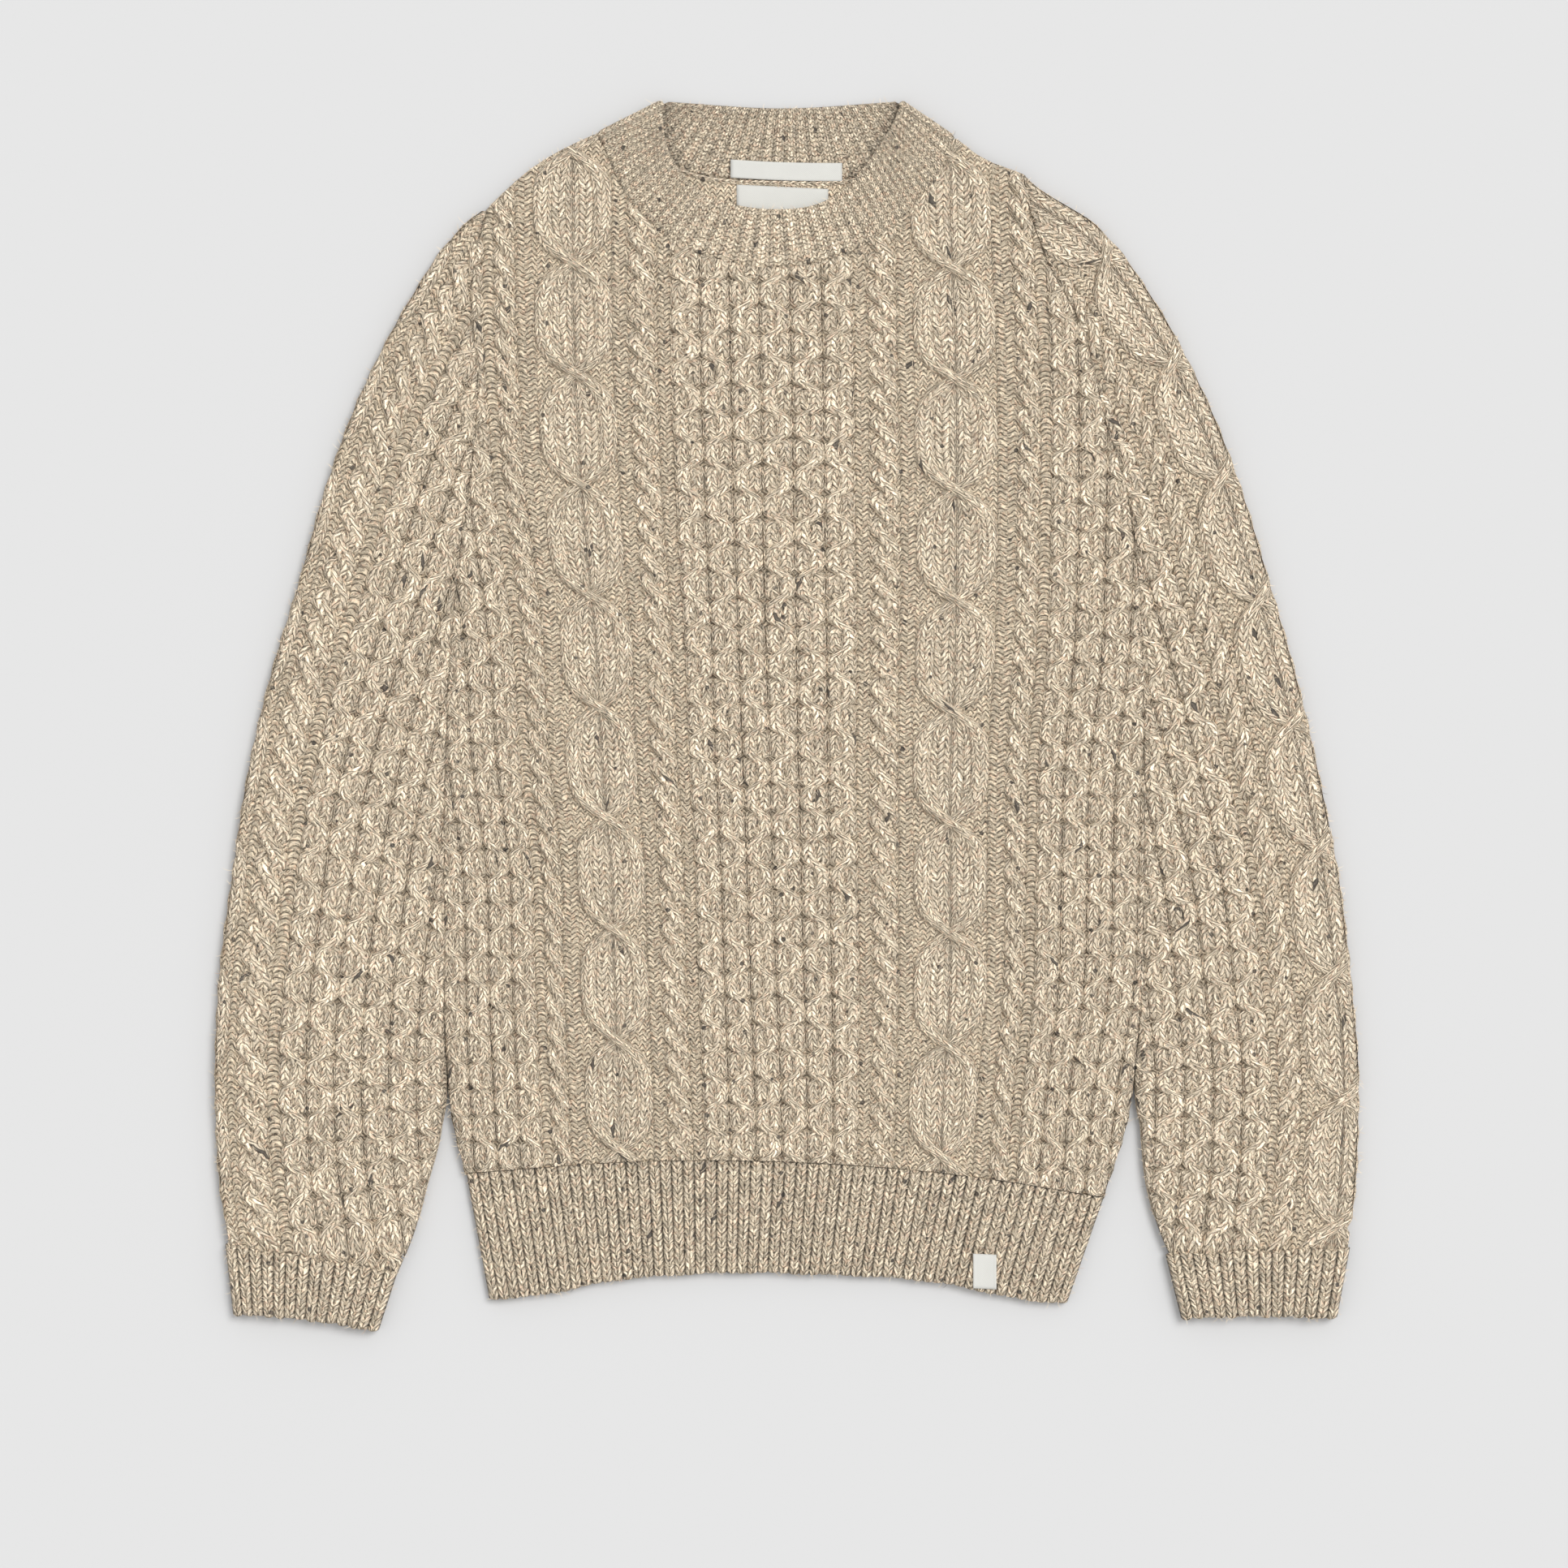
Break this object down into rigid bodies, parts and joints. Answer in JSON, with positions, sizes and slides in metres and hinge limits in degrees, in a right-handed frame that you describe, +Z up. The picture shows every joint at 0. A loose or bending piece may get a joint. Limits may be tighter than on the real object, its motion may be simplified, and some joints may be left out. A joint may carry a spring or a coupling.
{
  "type": "cable-knit sweater",
  "caption": "Long-sleeved cable-knit pullover laid flat, front up, with ribbed neckband, hem and turned-up cuffs.",
  "frame": {"origin": "middle of the garment's footprint, on the surface it lies on", "axes": "+Y from the hem to the neck, +Z up from the surface through the back and the front, +X to the right of a viewer looking down on the front"},
  "size_m": [0.6611, 0.7108, 0.0127],
  "materials": {
    "front_wool": "undyed oatmeal wool, heathered, fuzzy",
    "back_wool": "undyed oatmeal wool, heathered, fuzzy",
    "sleeve_left_wool": "undyed oatmeal wool, heathered, fuzzy",
    "sleeve_right_wool": "undyed oatmeal wool, heathered, fuzzy",
    "neckband_wool": "undyed oatmeal wool, heathered, fuzzy",
    "hem_rib_wool": "undyed oatmeal wool, heathered, fuzzy",
    "cuff_left_wool": "undyed oatmeal wool, heathered, fuzzy",
    "cuff_right_wool": "undyed oatmeal wool, heathered, fuzzy",
    "neck_label_tape": "woven tape, off-white, bare",
    "size_label_tape": "woven tape, off-white, bare",
    "hem_tab_tape": "woven tape, off-white, bare"
  },
  "bodies": {
    "root": {"front": "front_wool", "back": "back_wool", "sleeve_left": "sleeve_left_wool", "sleeve_right": "sleeve_right_wool", "neckband": "neckband_wool", "hem_rib": "hem_rib_wool", "cuff_left": "cuff_left_wool", "cuff_right": "cuff_right_wool", "neck_label": "neck_label_tape", "size_label": "size_label_tape", "hem_tab": "hem_tab_tape"}
  },
  "joints": []
}
